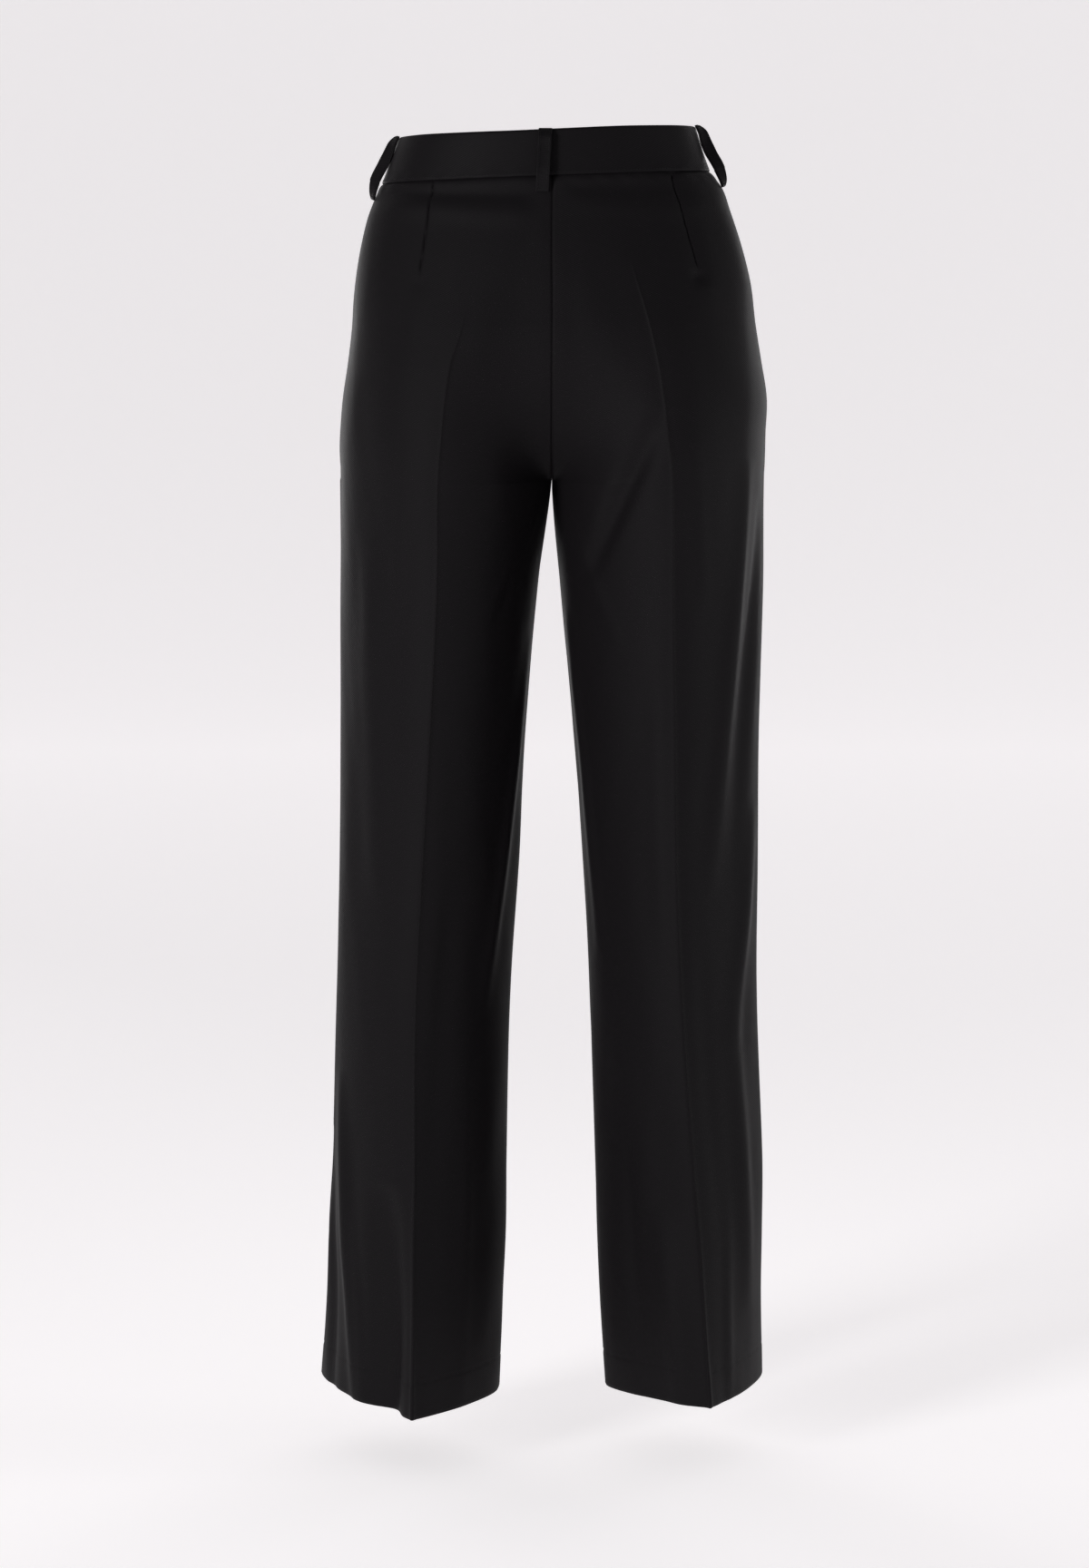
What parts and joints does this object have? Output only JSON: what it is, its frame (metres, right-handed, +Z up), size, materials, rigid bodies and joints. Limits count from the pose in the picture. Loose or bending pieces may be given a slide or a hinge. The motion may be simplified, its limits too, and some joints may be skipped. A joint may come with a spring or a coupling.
{
  "type": "palazzo pants",
  "caption": "Wide-leg, high-waisted trousers in dark suiting cloth, as worn and hollow, with pressed creases, belt loops, slanted pockets and a fly front.",
  "frame": {"origin": "centre of the waist, level with the waistband's upper edge at the centre back", "axes": "+Z up along the legs, front of the garment towards -Y, the wearer's left towards +X"},
  "size_m": [0.3815, 0.2501, 1.08],
  "materials": {
    "cloth": "fine twill suiting, near black",
    "band_cloth": "fine twill suiting, stiffened",
    "inner_cloth": "twill suiting, its inner side",
    "button_plastic": "satin resin button"
  },
  "bodies": {
    "root": {"back_left_seat": "cloth", "back_left_thigh": "cloth", "back_left_shin": "cloth", "back_right_seat": "cloth", "back_right_thigh": "cloth", "back_right_shin": "cloth", "front_left_seat": "cloth", "front_left_thigh": "cloth", "front_left_shin": "cloth", "front_right_seat": "cloth", "front_right_thigh": "cloth", "front_right_shin": "cloth", "pocket_left": "cloth", "pocket_right": "cloth", "waistband": "band_cloth", "loop_back": "band_cloth", "loop_side_left": "band_cloth", "loop_side_right": "band_cloth", "loop_front_left": "band_cloth", "loop_front_right": "band_cloth", "hem_left": "inner_cloth", "hem_right": "inner_cloth", "button": "button_plastic"}
  },
  "joints": []
}
